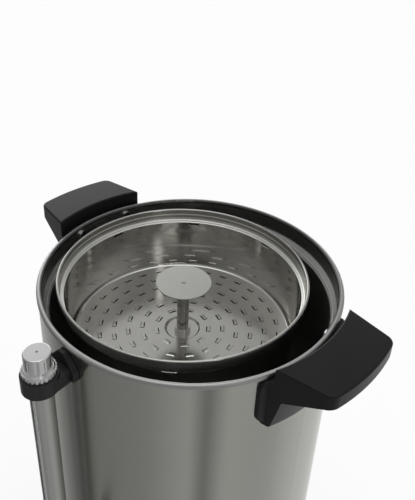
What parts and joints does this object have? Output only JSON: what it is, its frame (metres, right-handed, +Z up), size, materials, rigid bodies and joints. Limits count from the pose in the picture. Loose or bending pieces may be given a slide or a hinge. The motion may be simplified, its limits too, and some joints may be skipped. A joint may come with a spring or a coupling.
{
  "type": "percolating coffee urn",
  "caption": "Tall steel coffee urn with side grips, a sight gauge, a lever faucet, and an open perforated basket with a spreader disc on its pump tube.",
  "frame": {"origin": "on the table under the urn's own axis, in the plane of the four feet", "axes": "+Z up along the urn's axis; -Y is the front, where the faucet and the sight gauge stand; +X is the right-hand grip as seen from behind the faucet, looking along +Y"},
  "size_m": [0.362, 0.347, 0.4653],
  "materials": {
    "shell_steel": "brushed stainless sheet",
    "tank_steel": "drawn stainless sheet",
    "basket_steel": "bright pressed sheet",
    "cover_steel": "plated sheet",
    "fastener_steel": "plated",
    "black_moulding": "fine matt grain",
    "rocker_plastic": "smooth",
    "terminal_plastic": "smooth",
    "wire_insulation": "smooth",
    "lamp_lens": "translucent amber",
    "cap_chrome": "satin bright",
    "seal_rubber": "soft",
    "gauge_glass": "clear",
    "heater_metal": "cast",
    "element_sheath": "heat-tinted",
    "pin_metal": "nickel-plated"
  },
  "bodies": {
    "urn": {"outer_shell": "shell_steel", "inner_tank": "tank_steel", "tank_well": "tank_steel", "base_housing": "black_moulding", "bottom_cover": "cover_steel", "feet": "seal_rubber", "foot_screws": "fastener_steel", "left_handle": "black_moulding", "right_handle": "black_moulding", "handle_screws": "fastener_steel", "heater_plate": "heater_metal", "pump_heater": "element_sheath", "warming_element": "element_sheath", "brew_thermostat": "element_sheath", "warming_thermostat": "element_sheath", "thermal_cutout": "element_sheath", "tie_strap": "cover_steel", "tie_stud": "fastener_steel", "tie_nut": "fastener_steel", "power_inlet": "black_moulding", "inlet_pins": "pin_metal", "terminal_block": "terminal_plastic", "wiring": "wire_insulation", "switch_housing": "black_moulding", "indicator_bezel": "cap_chrome", "indicator_lens": "lamp_lens", "faucet_body": "cap_chrome", "faucet_gasket": "seal_rubber", "wall_spacer": "seal_rubber", "tank_gasket": "seal_rubber", "faucet_nut": "cap_chrome", "faucet_bonnet": "black_moulding", "valve_spring": "fastener_steel", "gauge_tube": "gauge_glass", "gauge_seal": "seal_rubber", "gauge_nut": "black_moulding", "gauge_guard": "shell_steel", "gauge_bracket": "black_moulding", "bracket_screws": "fastener_steel"},
    "pump": {"pump_tube": "basket_steel", "pump_foot": "basket_steel", "pump_stop": "basket_steel"},
    "washer": {"check_washer": "basket_steel"},
    "basket": {"basket_wall": "basket_steel", "basket_floor": "basket_steel", "basket_tube": "basket_steel", "basket_collar": "basket_steel", "basket_nut": "basket_steel", "spreader_disc": "basket_steel"},
    "stem": {"valve_stem": "fastener_steel", "seat_cup": "seal_rubber", "lever_pin": "fastener_steel"},
    "lever": {"faucet_lever": "black_moulding"},
    "rocker": {"switch_rocker": "rocker_plastic"},
    "cap": {"gauge_cap": "cap_chrome", "cap_seal": "seal_rubber"}
  },
  "joints": [
    {"name": "pump_lift", "type": "slide", "parent": "urn", "child": "pump", "axis": [0, 0, 1], "range_m": [0, 0.4]},
    {"name": "washer_lift", "type": "slide", "parent": "pump", "child": "washer", "axis": [0, 0, 1], "range_m": [0, 0.003]},
    {"name": "basket_lift", "type": "slide", "parent": "pump", "child": "basket", "axis": [0, 0, 1], "range_m": [0, 0.12]},
    {"name": "valve_slide", "type": "slide", "parent": "urn", "child": "stem", "axis": [0, 0, 1], "range_m": [0, 0.0041], "deforming": ["valve_spring"]},
    {"name": "lever_hinge", "type": "hinge", "parent": "stem", "child": "lever", "pos_m": [0, -0.192, 0.1503], "axis": [1, 0, 0], "range_deg": [0, 40], "stiffness_Nm_per_rad": 0.3},
    {"name": "rocker_tilt", "type": "hinge", "parent": "urn", "child": "rocker", "pos_m": [-0.06408, -0.12052, 0.036], "axis": [-0.8829, 0.4695, 0], "range_deg": [0, 12]},
    {"name": "cap_lift", "type": "slide", "parent": "urn", "child": "cap", "axis": [0, 0, 1], "range_m": [0, 0.06]}
  ],
  "couplings": [
    {"joint": "valve_slide", "follows": "lever_hinge", "m_per_rad": 0.0057296}
  ]
}
